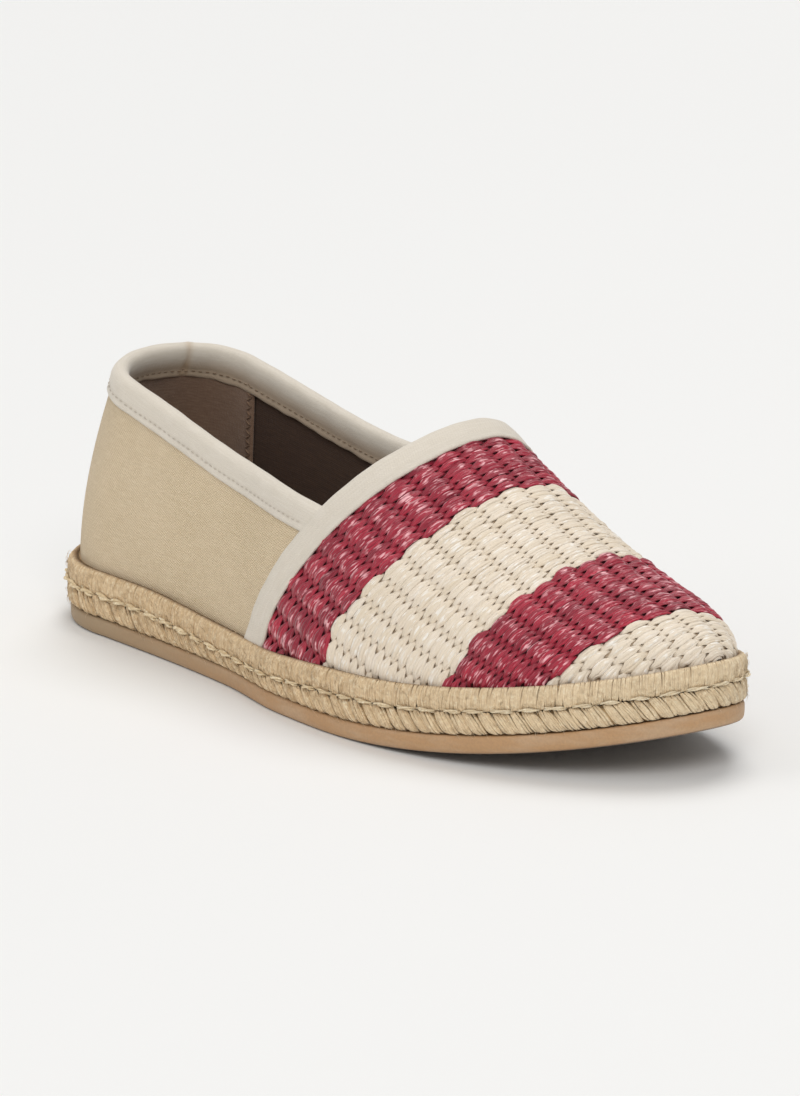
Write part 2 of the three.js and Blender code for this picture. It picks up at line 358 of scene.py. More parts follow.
class SoleWrap:
    """The way round the sole's outline: distance from the heel along the outer side first."""

    def __init__(self):
        steps = (1 - np.cos(np.linspace(0, np.pi, 900))) / 2
        there = np.stack(outline_point(steps, np.full(900, -1), 0.0), axis=-1)
        back = np.stack(outline_point(steps[::-1], np.full(900, 1), 0.0), axis=-1)[1:]
        loop = np.concatenate([there, back])
        run = np.concatenate([[0], np.cumsum(np.linalg.norm(np.diff(loop, axis=0), axis=1))])
        self.length = run[-1]
        self.steps = np.linspace(0, self.length, 601)
        self.line = np.stack([np.interp(self.steps, run, loop[:, k]) for k in (0, 1)], axis=-1)
        heading = np.roll(self.line[:-1], -1, axis=0) - np.roll(self.line[:-1], 1, axis=0)
        heading = np.concatenate([heading, heading[:1]])
        heading /= np.linalg.norm(heading, axis=1, keepdims=True)
        self.outward = np.stack([heading[:, 1], -heading[:, 0]], axis=-1)

    def at(self, distance, inset, height):
        """Points this far round, this far in from the outline, at a height over the flat sole."""
        distance = np.mod(distance, self.length)
        line, out = (
            np.stack([np.interp(distance, self.steps, t[:, k]) for k in (0, 1)], axis=-1)
            for t in (self.line, self.outward)
        )
        out /= np.linalg.norm(out, axis=1, keepdims=True)
        place = line - out * np.broadcast_to(inset, distance.shape)[:, None]
        return np.column_stack([place, band_height(place[:, 0], height)])


sole_wrap = SoleWrap()

# ---- Making and finishing pieces ---------------------------------------------------------------


def in_metres(points):
    """From millimetres behind the heel to the frame's metres."""
    return (points + np.array([-SHOE_LENGTH / 2, AXIS_OFFSET, 0.0])) / 1000


def new_strips(name, steps, rows, copies=1):
    """Adds a flat grid and repeats it; gives the piece, and each vertex's copy and place in it."""
    bpy.ops.object.select_all(action="DESELECT")
    bpy.ops.mesh.primitive_grid_add(x_subdivisions=steps, y_subdivisions=rows, size=1.0)
    piece = bpy.context.active_object
    piece.name = piece.data.name = name
    flat = np.zeros(len(piece.data.vertices) * 3, np.float32)
    piece.data.vertices.foreach_get("co", flat)
    flat = flat.reshape(-1, 3).astype(float) + 0.5
    if copies > 1:
        bpy.ops.object.modifier_add(type="ARRAY")
        array = piece.modifiers[-1]
        array.count = copies
        array.relative_offset_displace = (0.0, 1.5, 0.0)
        bpy.ops.object.modifier_apply(modifier=array.name)
    number = np.repeat(np.arange(copies), len(flat))
    return piece, number, np.tile(flat[:, 0], copies), np.tile(flat[:, 1], copies)


def lay(piece, points, pattern=None, tone=None):
    """Puts a piece's vertices where they go, with a pattern position and a tone kept on each."""
    mesh = piece.data
    mesh.vertices.foreach_set("co", in_metres(points).astype(np.float32).ravel())
    if pattern is not None:
        store = mesh.attributes.new("pattern", "FLOAT_VECTOR", "POINT")
        store.data.foreach_set("vector", np.column_stack(pattern).astype(np.float32).ravel())
    if tone is not None:
        store = mesh.attributes.new("tone", "FLOAT", "POINT")
        store.data.foreach_set("value", np.asarray(tone, np.float32))
    mesh.update()


def weld(piece, fill=False):
    """Closes the seams and ends of wrapped pieces and turns their faces outwards."""
    bpy.context.view_layer.objects.active = piece
    bpy.ops.object.mode_set(mode="EDIT")
    bpy.ops.mesh.select_all(action="SELECT")
    bpy.ops.mesh.remove_doubles(threshold=0.000003)
    if fill:
        bpy.ops.mesh.fill_holes(sides=0)
    bpy.ops.mesh.normals_make_consistent(inside=False)
    bpy.ops.object.mode_set(mode="OBJECT")


def trim(piece, keep):
    """Deletes the vertices that are not kept."""
    bpy.ops.object.mode_set(mode="EDIT")
    bpy.ops.mesh.select_mode(type="VERT")
    bpy.ops.mesh.select_all(action="DESELECT")
    bpy.ops.object.mode_set(mode="OBJECT")
    piece.data.vertices.foreach_set("select", ~keep)
    bpy.ops.object.mode_set(mode="EDIT")
    bpy.ops.mesh.delete(type="VERT")
    bpy.ops.object.mode_set(mode="OBJECT")


def thicken(piece, thickness):
    """Gives a cloth sheet its thickness, inwards from its face."""
    bpy.ops.object.modifier_add(type="SOLIDIFY")
    wall = piece.modifiers[-1]
    wall.thickness = thickness / 1000
    wall.offset = -1.0
    bpy.ops.object.modifier_apply(modifier=wall.name)


def finish_piece(piece, material, slot, *nodes):
    bpy.ops.object.shade_smooth()
    piece.data.materials.clear()
    piece.data.materials.append(material)
    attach(piece, "root")
    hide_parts(*nodes)


def round_profile(profile, across):
    """The two measures of a closed profile, for each vertex on its way round."""
    return profile[np.rint(across * len(profile)).astype(int) % len(profile)].T


def closing(s, power):
    """How full a strand is along its length: it closes at both ends, sharply for a low power."""
    return np.sin(np.pi * np.clip(s, 0.0, 1.0)) ** power


def section_loop(across):
    """A turn round a tube's section, with its seam on the underside."""
    turn = (across - 0.25) * 2 * np.pi
    return np.cos(turn), np.sin(turn)


def ring_body(name, levels, steps=150):
    """A body of the sole from rings of (inset, height, share of width), closed at both ends."""
    piece, _, around, up = new_strips(name, 2 * steps, len(levels) - 1)
    level = np.rint(up * (len(levels) - 1)).astype(int)
    inset, height, width = np.array(levels, float)[level].T
    k = np.rint(around * 2 * steps).astype(int)
    side = np.where(k <= steps, -1, 1)
    along = (1 - np.cos(np.pi * np.where(k <= steps, k, 2 * steps - k) / steps)) / 2
    x, y = outline_point(along, side, inset)
    middle = TOE_TIP_OFFSET * share(along, BALL, 1) ** TOE_TURN_POWER
    points = np.column_stack([x, middle + (y - middle) * width, band_height(x, height)])
    lay(piece, points, pattern=(points[:, 0], points[:, 1], height))
    weld(piece)
    return piece


# ---- Materials ---------------------------------------------------------------------------------


def dye(red, green, blue):
    """A colour given as 0 to 255 in each channel, as light."""
    def light(value):
        value /= 255
        return value / 12.92 if value <= 0.04045 else ((value + 0.055) / 1.055) ** 2.4

    return light(red), light(green), light(blue)


class Finish:
    """A material being put together from nodes."""

    def __init__(self, name, **fixed):
        self.material = bpy.data.materials.new(name)
        self.material.use_nodes = True
        self.tree = self.material.node_tree
        self.shader = self.tree.nodes["Principled BSDF"]
        for socket, value in fixed.items():
            self.shader.inputs[socket.replace("_", " ")].default_value = value

    def add(self, kind, inputs=None, output=0, **settings):
        node = self.tree.nodes.new("ShaderNode" + kind)
        for name, value in settings.items():
            setattr(node, name, value)
        for name, value in (inputs or {}).items():
            if isinstance(value, bpy.types.NodeSocket):
                self.tree.links.new(value, node.inputs[name])
            else:
                node.inputs[name].default_value = value
        return node.outputs[output]

    def kept(self, name, output):
        return self.add("Attribute", attribute_name=name, output=output)

    def object_place(self):
        return self.add("TexCoord", output="Object")

    def part_of(self, vector, which):
        return self.add("SeparateXYZ", {0: vector}, output=which)

    def stretched(self, vector, x, y, z):
        return self.add("VectorMath", {0: vector, 1: (x, y, z)}, operation="MULTIPLY")

    def noise(self, vector, scale, detail=2.0, roughness=0.5):
        return self.add("TexNoise", {"Vector": vector, "Scale": scale, "Detail": detail,
                                     "Roughness": roughness})

    def spread(self, value, low, high, to_low=0.0, to_high=1.0):
        return self.add("MapRange", {"Value": value, "From Min": low, "From Max": high,
                                     "To Min": to_low, "To Max": to_high})

    def maths(self, operation, first, second=0.0, third=0.0):
        return self.add("Math", {0: first, 1: second, 2: third}, operation=operation)

    def mix(self, amount, first, second):
        first, second = (
            colour if isinstance(colour, bpy.types.NodeSocket) else (*colour, 1.0)
            for colour in (first, second)
        )
        return self.add("Mix", {"Factor": amount, 6: first, 7: second}, output=2,
                        data_type="RGBA")

    def layered(self, colour, layers):
        """Mixes further colours in, each by how far a value lies between two bounds."""
        for value, low, high, to_low, to_high, other in layers:
            colour = self.mix(self.spread(value, low, high, to_low, to_high), colour, other)
        return colour

    def bump(self, height, distance, strength=1.0):
        return self.add("Bump", {"Height": height, "Distance": distance, "Strength": strength})

    def into(self, socket, value):
        self.tree.links.new(value, self.shader.inputs[socket])


def ribbon_finish(name, deep, body, painted_glint, painted_glint_share, roughness, sheen):
    """A flat multi-filament yarn: tone by float, fine filaments along it, and painted glints:
    streaks of highlight painted into the colour near each float's crest.
    """
    f = Finish(name, Roughness=roughness, Sheen_Weight=sheen, Sheen_Roughness=0.4)
    pattern = f.kept("pattern", "Vector")
    tone = f.kept("tone", "Fac")
    filaments = f.noise(f.stretched(pattern, 0.22, 3.2, 1.0), 1.0, 3.0, 0.6)
    streaks = f.noise(f.stretched(pattern, 0.34, 2.4, 1.7), 1.0, 1.0)
    colour = f.mix(f.spread(tone, 0.0, 1.0), deep, body)
    colour = f.mix(f.spread(filaments, 0.36, 0.62, 0.55, 0.0), colour, deep)
    # Painted highlight: pale glints are painted in streaks near the crest, where a glossy yarn
    # would catch the light, with lower roughness there.
    crest = f.spread(f.maths("ABSOLUTE", f.part_of(pattern, 0)), 1.3, 3.0, 1.0, 0.0)
    painted_glint_mask = f.maths("MULTIPLY", f.spread(streaks, painted_glint_share, painted_glint_share + 0.09),
                   f.maths("MULTIPLY", crest, f.spread(filaments, 0.40, 0.56, 0.4, 1.0)))
    colour = f.mix(painted_glint_mask, colour, painted_glint)
    f.into("Base Color", colour)
    f.into("Roughness", f.spread(painted_glint_mask, 0.0, 1.0, roughness, roughness * 0.62))
    f.into("Normal", f.bump(filaments, 0.00045, 0.9))
    return f.material


def jute_finish(name, deep, body, pale, turned_in=None):
    """Twisted bast fibre: tone by yarn, long fibres, and paler hairs.

    A yarn darkens past turned_in, its place in millimetres where it goes under the upper: painted
    shade under the upper's edge.
    """
    f = Finish(name, Roughness=0.86, Sheen_Weight=0.15, Sheen_Roughness=0.5)
    pattern = f.kept("pattern", "Vector")
    tone = f.kept("tone", "Fac")
    fibres = f.noise(f.stretched(pattern, 0.5, 3.6, 1.0), 1.0, 3.0, 0.65)
    patches = f.noise(f.object_place(), 160.0, 2.0)
    specks = f.noise(f.object_place(), 900.0, 2.0, 0.7)
    by_yarn = f.maths("MULTIPLY", tone, 0.75)
    colour = f.mix(f.maths("MULTIPLY_ADD", patches, 0.5, by_yarn), deep, body)
    colour = f.layered(colour, (
        (fibres, 0.30, 0.58, 0.5, 0.0, deep), (fibres, 0.56, 0.74, 0.0, 0.75, pale),
        (specks, 0.40, 0.56, 0.45, 0.0, deep), (specks, 0.56, 0.70, 0.0, 0.6, pale),
    ))
    # Painted light: the jute is made paler towards the toe, standing in for the stronger light on
    # the toe's front.
    colour = f.mix(f.spread(f.part_of(f.object_place(), 0), 0.02, 0.11, 0.0, 0.34), colour, pale)
    if turned_in is not None:
        # Painted shade where the yarn goes under the upper.
        end = f.spread(f.part_of(pattern, 0), turned_in, turned_in + 0.7, 0.0, 0.75)
        colour = f.mix(end, colour, dye(128, 92, 54))
    f.into("Base Color", colour)
    f.into("Normal", f.bump(fibres, 0.00035, 0.9))
    return f.material


def cloth_finish(name, thread, ground, fleck, pitch, depth, slant, roughness=0.9, sheen=0.1,
                 slubs=0.6, inside=None):
    """Woven cloth: crossing threads at a pitch in millimetres, slubs, and soft tone changes.

    Where the piece's tone is 1, the cloth takes the inside colour: painted shade inside the shoe
    on the collar tape and its thread, and a darker line down the heel seam on the canvas.
    """
    f = Finish(name, Roughness=roughness, Sheen_Weight=sheen, Sheen_Roughness=0.45)
    pattern = f.kept("pattern", "Vector")
    wander = f.noise(pattern, 0.9, 2.0)
    along, up = f.part_of(pattern, 0), f.part_of(pattern, 1)
    loose = f.maths("MULTIPLY", wander, 0.9)
    rate = 2 * math.pi / pitch
    warp = f.maths("SINE", f.maths("MULTIPLY", f.maths("ADD", along, loose), rate))
    lean = f.maths("MULTIPLY_ADD", along, slant, up)
    weft = f.maths("SINE", f.maths("MULTIPLY", f.maths("ADD", lean, loose), rate))
    grid = f.maths("MULTIPLY_ADD", f.maths("MULTIPLY", warp, weft), 0.5, 0.5)
    slub = f.noise(f.stretched(pattern, 0.16, 1.9, 1.0), 1.0, 3.0, 0.6)
    cross = f.noise(f.stretched(pattern, 1.9, 0.16, 1.0), 1.0, 3.0, 0.6)
    clouds = f.noise(f.object_place(), 22.0, 3.0)
    colour = f.mix(f.spread(grid, 0.15, 0.85), ground, thread)
    colour = f.layered(colour, (
        (slub, 0.42, 0.68, 0.0, slubs, fleck), (cross, 0.50, 0.74, 0.0, 0.8 * slubs, ground),
        (clouds, 0.35, 0.65, 0.0, 0.35, thread),
    ))
    # The inside colour, mixed in by tone, is painted shade on the collar tape and its thread.
    if inside is not None:
        colour = f.mix(f.kept("tone", "Fac"), colour, inside)
    f.into("Base Color", colour)
    height = f.maths("ADD", f.maths("MULTIPLY", grid, 0.7), f.maths("MULTIPLY", slub, 0.5))
    f.into("Normal", f.bump(height, depth, 0.8))
    return f.material


def rubber_finish(name, body, scuffed):
    """Pressed rubber with a faint grain, and paler where it has been rubbed."""
    f = Finish(name, Roughness=0.55)
    place = f.object_place()
    grain = f.noise(place, 1500.0, 3.0)
    wipes = f.noise(f.stretched(place, 70.0, 70.0, 300.0), 1.0, 4.0, 0.6)
    colour = f.mix(f.spread(wipes, 0.42, 0.66, 0.0, 0.6), body, scuffed)
    colour = f.mix(f.spread(grain, 0.35, 0.65, 0.18, 0.0), colour, (0.25, 0.16, 0.10))
    # Greyer towards the heel. The tread face is darker: given as a scuffed tread, and as painted
    # shade, set dark to deepen and grey the floor's shadow under the toe.
    pattern = f.kept("pattern", "Vector")
    back = f.spread(f.part_of(pattern, 0), 20.0, 120.0, 0.85, 0.0)
    under = f.spread(f.part_of(pattern, 2), 0.02, 0.6, 0.85, 0.0)
    colour = f.mix(back, colour, dye(158, 138, 110))
    colour = f.mix(under, colour, dye(96, 88, 80))
    f.into("Base Color", colour)
    f.into("Roughness", f.spread(wipes, 0.3, 0.7, 0.48, 0.68))
    f.into("Normal", f.bump(grain, 0.00012, 0.6))
    return f.material


# ---- Settings ----------------------------------------------------------------------------------


def colour_setting(name, description, default):
    return FloatVectorProperty(name=name, description=description, subtype="COLOR", size=3,
                               min=0.0, max=1.0, default=default)


def size_setting(name, description, millimetres):
    return FloatProperty(name=name, description=description, subtype="DISTANCE", unit="LENGTH",
                         min=0.0, default=millimetres / 1000, precision=5)


class WeaveSettings(bpy.types.PropertyGroup):
    row_spacing: size_setting("Row spacing", "From one weft ribbon to the next", 1.25)
    rib_at_throat: size_setting("Rib at throat", "Width of a rib at the throat", 8.35)
    rib_at_toe: size_setting("Rib at toe", "Width of a rib at the last stripe", 7.55)
    rib_relief: size_setting("Rib relief", "How far a rib stands over its grooves", 0.95)
    berry: colour_setting("Berry", "Body colour of the red ribbons", dye(196, 42, 68))
    cream: colour_setting("Cream", "Body colour of the pale ribbons", dye(243, 231, 215))


class SoleSettings(bpy.types.PropertyGroup):
    yarn_spacing: size_setting("Yarn spacing", "From one wrapped yarn to the next", 0.56)
    strand_spacing: size_setting("Strand spacing", "From one slanted strand to the next", 4.4)
    stitch_spacing: size_setting("Stitch spacing", "From one sole stitch to the next", 7.7)
    jute: colour_setting("Jute", "Body colour of the jute", dye(246, 219, 178))
    rubber: colour_setting("Rubber", "Body colour of the outsole", dye(190, 150, 108))


class UpperSettings(bpy.types.PropertyGroup):
    canvas: colour_setting("Canvas", "Colour of the quarters", dye(232, 212, 182))
    lining: colour_setting("Lining", "Colour of the lining", dye(78, 53, 38))
    patch: colour_setting("Heel patch", "Colour of the heel's inner patch", dye(152, 121, 98))
    tape: colour_setting("Tape", "Colour of both tapes", dye(228, 219, 204))
    collar_width: size_setting("Collar tape", "Width shown outside the collar", 7.2)
    vamp_width: size_setting("Vamp tape", "Width of the tape on the vamp's edge", 7.6)
    stitch_spacing: size_setting("Tape stitches", "From one tape stitch to the next", 2.3)


class StageSettings(bpy.types.PropertyGroup):
    floor: colour_setting("Floor", "Colour of the floor", dye(242, 242, 241))
    key_power: FloatProperty(name="Key light", description="Power of the main soft light",
                             unit="POWER", min=0.0, default=122.0)
    framing: FloatProperty(name="Framing", description="How close the camera frames the shoe",
                           min=0.5, max=3.0, default=1.7)


# ---- Pieces of the sole ------------------------------------------------------------------------

JUTE_DEEP = dye(200, 166, 120)
JUTE_PALE = dye(252, 238, 208)


class ESPADRILLE_OT_outsole(bpy.types.Operator):
    """Moulds the rubber outsole with its rounded edge"""

    bl_idname = "espadrille.outsole"
    bl_label = "Outsole"

    def execute(self, context):
        rubber = tuple(context.scene.espadrille_sole.rubber)
        levels = [
            (8.0, 0.0, 0.0), (8.0, 0.0, 0.5), (8.0, 0.0, 0.85), (5.0, 0.0, 1.0), (2.3, 0.0, 1.0),
            (1.7, 0.12, 1.0), (1.2, 0.5, 1.0), (0.95, 1.1, 1.0), (0.85, 1.9, 1.0), (0.8, 2.9, 1.0),
            (0.8, 3.9, 1.0), (0.85, 4.5, 1.0), (1.1, 5.0, 1.0), (1.6, 5.2, 1.0),
            (5.0, 5.2, 1.0), (8.0, 5.2, 0.6), (8.0, 5.2, 0.0),
        ]
        piece = ring_body("outsole_rubber_plate", levels)
        finish_piece(piece, rubber_finish("tan rubber", rubber, dye(200, 172, 142)),
                     "outsole_rubber", "outsole")
        return {"FINISHED"}


class ESPADRILLE_OT_jute(bpy.types.Operator):
    """Winds the two jute bands, their cores, their sewing and their loose fibres"""

    bl_idname = "espadrille.jute"
    bl_label = "Jute sole"

    def execute(self, context):
        settings = context.scene.espadrille_sole
        body = tuple(settings.jute)
        yarn = jute_finish("jute yarn", JUTE_DEEP, body, JUTE_PALE)
        # The cores are coloured darker than the yarns wound over them: painted shade in the gaps
        # between the yarns.
        core = jute_finish("jute core", dye(172, 140, 96), dye(208, 176, 130), dye(224, 196, 152))
        thread = jute_finish("sewing thread", dye(204, 174, 126), dye(248, 230, 194),
                             dye(254, 244, 220))
        self.bands(core)
        self.upper_yarns(settings, jute_finish("foxing yarn", JUTE_DEEP, body, JUTE_PALE, 6.75))
        self.lower_strands(settings, yarn)
        self.sewing(settings, thread)
        self.fibres(yarn)
        return {"FINISHED"}

    @staticmethod
    def bands(core):
        low, high = LOWER_BAND
        levels = [(9.0, low, 0.0), (9.0, low, 0.7), (3.0, low, 1.0), (1.9, low + 0.5, 1.0),
                  (0.95, low + 1.8, 1.0), (0.78, 8.6, 1.0), (1.1, high - 1.4, 1.0),
                  (2.2, high - 0.2, 1.0), (3.2, high + 0.2, 1.0), (9.0, high + 0.2, 0.7),
                  (9.0, high + 0.2, 0.0)]
        lower = ring_body("jute_midsole_core", levels)
        finish_piece(lower, core, "jute", "jute_midsole")
        low, high = UPPER_BAND
        # A closed ring: its last level meets its first under the upper.
        levels = [(4.7, low, 1.0), (2.3, low, 1.0), (1.2, low + 0.9, 1.0), (0.56, 14.6, 1.0),
                  (0.86, 16.4, 1.0), (1.5, high - 0.9, 1.0), (2.5, high - 0.35, 1.0),
                  (3.6, high - 0.6, 1.0), (4.7, high - 1.8, 1.0), (4.7, low, 1.0)]
        upper = ring_body("jute_foxing_core", levels)
        finish_piece(upper, core, "jute", "jute_foxing")

    @staticmethod
    def upper_yarns(settings, material):
        rng = np.random.default_rng(11)
        count = int(sole_wrap.length / (settings.yarn_spacing * 1000))
        piece, n, s, across = new_strips("jute_foxing_yarns", 9, 5, count)
        path = np.array([(0, 1.9, 11.7), (0.12, 0.95, 12.15), (0.3, 0.5, 13.3), (0.5, 0.38, 15.1),
                         (0.68, 0.6, 16.7), (0.82, 1.2, 17.9), (0.92, 2.1, 18.5), (1, 3.5, 18.2)])
        pitch = sole_wrap.length / count
        around, outward = section_loop(across)
        girth = rng.uniform(0.80, 1.25, count)[n]
        lean = rng.normal(0.25, 0.45, count)[n]
        proud = rng.normal(0.0, 0.055, count)[n]
        wobble = rng.uniform(0, 2 * np.pi, count)[n]
        close = closing(s, 0.25)
        half = 0.88 * pitch * girth * close
        distance = ((n + 0.5) * pitch + rng.normal(0, 0.08, count)[n] + lean * (s - 0.5)
                    + 0.10 * np.sin(5.5 * s + wobble) + half * around)
        inset = smooth_table(path, 1)(s) - proud - 0.26 * close * outward
        height = smooth_table(path, 2)(s) + 0.30 * close * outward * ease((s - 0.6) / 0.3)
        points = sole_wrap.at(distance, inset, height)
        lay(piece, points, pattern=(s * 8.0, across * 3.4, n * 5.37),
            tone=rng.uniform(0.45, 1.0, count)[n])
        weld(piece)
        finish_piece(piece, material, "jute", "jute_foxing")

    @staticmethod
    def lower_strands(settings, material):
        rng = np.random.default_rng(12)
        yarns = 6
        strands = int(sole_wrap.length / (settings.strand_spacing * 1000))
        pitch = sole_wrap.length / strands
        count = strands * yarns
        piece, n, s, across = new_strips("jute_midsole_strands", 10, 5, count)
        strand, which = n // yarns, n % yarns
        spot = (which - (yarns - 1) / 2) / (yarns / 2)
        around, outward = section_loop(across)
        jitter = rng.normal(0, 0.4, strands)[strand]
        swell = rng.uniform(0.9, 1.12, strands)[strand]
        # The yarns of a strand turn about each other as they come down.
        twist = 0.9 * (s - 0.5)
        spread = spot * 0.5 * pitch * np.cos(twist) * (0.80 + 0.16 * np.sin(np.pi * s)) * swell
        proud = 0.62 * (1 - spot ** 2) + 0.25 * spot * np.sin(twist)
        path = np.array([(0, 2.4, 5.9), (0.1, 1.35, 5.75), (0.25, 0.75, 6.5), (0.5, 0.55, 8.6),
                         (0.75, 0.70, 10.5), (0.9, 1.05, 11.6), (1, 2.0, 12.1)])
        close = closing(s, 0.25)
        half = 0.54 * close * rng.uniform(0.85, 1.25, count)[n]
        distance = (strand * pitch + jitter + 5.6 * (0.5 - s) + spread + half * around
                    + rng.normal(0, 0.16, count)[n] + rng.normal(0, 0.45, count)[n] * (0.5 - s))
        inset = smooth_table(path, 1)(s) + 0.36 - proud - 0.38 * close * outward
        height = smooth_table(path, 2)(s) - 0.25 * (1 - spot ** 2) * (1 - ease(s / 0.3))
        points = sole_wrap.at(distance, inset, height)
        # The middle yarns of a strand, which stand out furthest, get a lighter tone as painted
        # light on the strand's crown; the rest of the tone is random.
        lay(piece, points, pattern=(s * 9.0, across * 3.6, n * 3.71),
            tone=np.clip(rng.uniform(0.3, 0.9, count)[n] + 0.15 * (1 - spot ** 2), 0, 1))
        weld(piece)
        finish_piece(piece, material, "jute", "jute_midsole")

    @staticmethod
    def sewing(settings, material):
        """Two-ply stitches in the groove, with the thread sinking at both ends of each."""
        rng = np.random.default_rng(13)
        stitches = int(sole_wrap.length / (settings.stitch_spacing * 1000))
        pitch = sole_wrap.length / stitches
        count = stitches * 2
        piece, n, s, across = new_strips("sole_stitches", 12, 6, count)
        stitch, ply = n // 2, n % 2
        around, outward = section_loop(across)
        place = (stitch + 0.5) * pitch + rng.normal(0, 0.35, stitches)[stitch]
        x = sole_wrap.at(place, 0.0, 0.0)[:, 0]
        heavy = 1 - 0.35 * share(x, 60, 150)
        length = (7.1 + rng.uniform(-1.5, 0.7, stitches)[stitch])
        close = closing(s, 0.35)
        turn = 2 * np.pi * (0.8 * s + rng.uniform(0, 1, stitches)[stitch]) + np.pi * ply
        ply_radius = 0.42 * heavy
        arch = np.sin(np.pi * s)
        inset = (1.5 - 1.85 * arch ** 0.5 - ply_radius * np.cos(turn)
                 - 0.50 * heavy * close * outward)
        slope = rng.normal(0.7, 0.35, stitches)[stitch] * heavy
        height = (12.05 + slope * (0.5 - s) + 0.35 * arch * heavy + ply_radius * np.sin(turn)
                  + 0.50 * heavy * close * around)
        distance = place + length * (s - 0.5)
        points = sole_wrap.at(distance, inset, height)
        lay(piece, points, pattern=(s * 7.0, across * 2.4, n * 2.9),
            tone=rng.uniform(0.4, 1.0, count)[n])
        weld(piece)
        finish_piece(piece, material, "jute", "jute_midsole", "jute_foxing")

    @staticmethod
    def fibres(material):
        """Short loose hairs that stand off both bands."""
        rng = np.random.default_rng(14)
        count = 3400
        piece, n, s, across = new_strips("jute_fibres", 5, 3, count)
        around, outward = section_loop(across)
        upper = rng.random(count) < 0.5
        level = np.where(upper, rng.uniform(12.6, 18.0, count), rng.uniform(5.8, 11.6, count))[n]
        start = rng.uniform(0, sole_wrap.length, count)[n]
        reach = rng.normal(1.2, 1.6, count)[n]
        rise = rng.uniform(-2.6, 2.0, count)[n]
        off = (0.15 + rng.exponential(0.22, count))[n]
        taper = 0.08 * (1 - 0.6 * s) * np.where((s < 0.01) | (s > 0.99), 0.0, 1.0)
        bow = np.sin(np.pi * s) * off
        points = sole_wrap.at(
            start + reach * s + taper * around,
            0.30 - np.minimum(bow, 0.9) - taper * outward,
            level + rise * s * s,
        )
        lay(piece, points, pattern=(s * 3, across, n * 1.3), tone=rng.uniform(0.6, 1.0, count)[n])
        weld(piece)
        finish_piece(piece, material, "jute", "jute_midsole", "jute_foxing")


class ESPADRILLE_OT_insole(bpy.types.Operator):
    """Lays the covered insole in the sole's well"""

    bl_idname = "espadrille.insole"
    bl_label = "Insole"

    def execute(self, context):
        lining = tuple(context.scene.espadrille_upper.lining)
        levels = [(9.0, 12.0, 0.0), (9.0, 12.0, 0.8), (6.2, 12.0, 1.0), (5.7, 12.3, 1.0),
                  (5.6, 13.2, 1.0), (5.7, 14.1, 1.0), (6.3, 14.55, 1.0), (9.0, 14.6, 1.0),
                  (12.0, 14.5, 0.8), (12.0, 14.4, 0.4), (12.0, 14.4, 0.0)]
        piece = ring_body("insole_cover", levels)
        cloth = cloth_finish("insole cloth", dye(122, 102, 84), lining, dye(140, 120, 100),
                             0.8, 0.0002, 0.0)
        finish_piece(piece, cloth, "insole", "insole")
        return {"FINISHED"}


# ---- Pieces of the upper -----------------------------------------------------------------------


STRANDS = 3
RIBS_EACH_SIDE = 15
RIB_OFFSET = -0.3
FIRST_ROW = 4.0
# Rows nearer the throat than this lie wholly under the tape.
UNDER_TAPE = 6.3
STRIPE_ROW_SPACING = (1.0, 0.9, 1.15, 0.8)


def row_spacing(settings, ahead):
    """The weft is beaten up more closely in some stripes than in others."""
    stripe = int(np.searchsorted(STRIPE_ENDS, ahead))
    return settings.row_spacing * 1000 * STRIPE_ROW_SPACING[stripe]


def rib_centre(settings, ahead, rib):
    return RIB_OFFSET + rib * rib_width(settings, ahead)


def tape_widening(sideways):
    """How much further ahead the vamp tape reaches down the sides than on the ridge."""
    return 1 + 0.04 * ease(share(np.abs(sideways), 30, 95))


def rib_width(settings, ahead):
    wide, narrow = settings.rib_at_throat * 1000, settings.rib_at_toe * 1000
    return wide + (narrow - wide) * np.clip(ahead / STRIPE_ENDS[2], -0.1, 1.2)


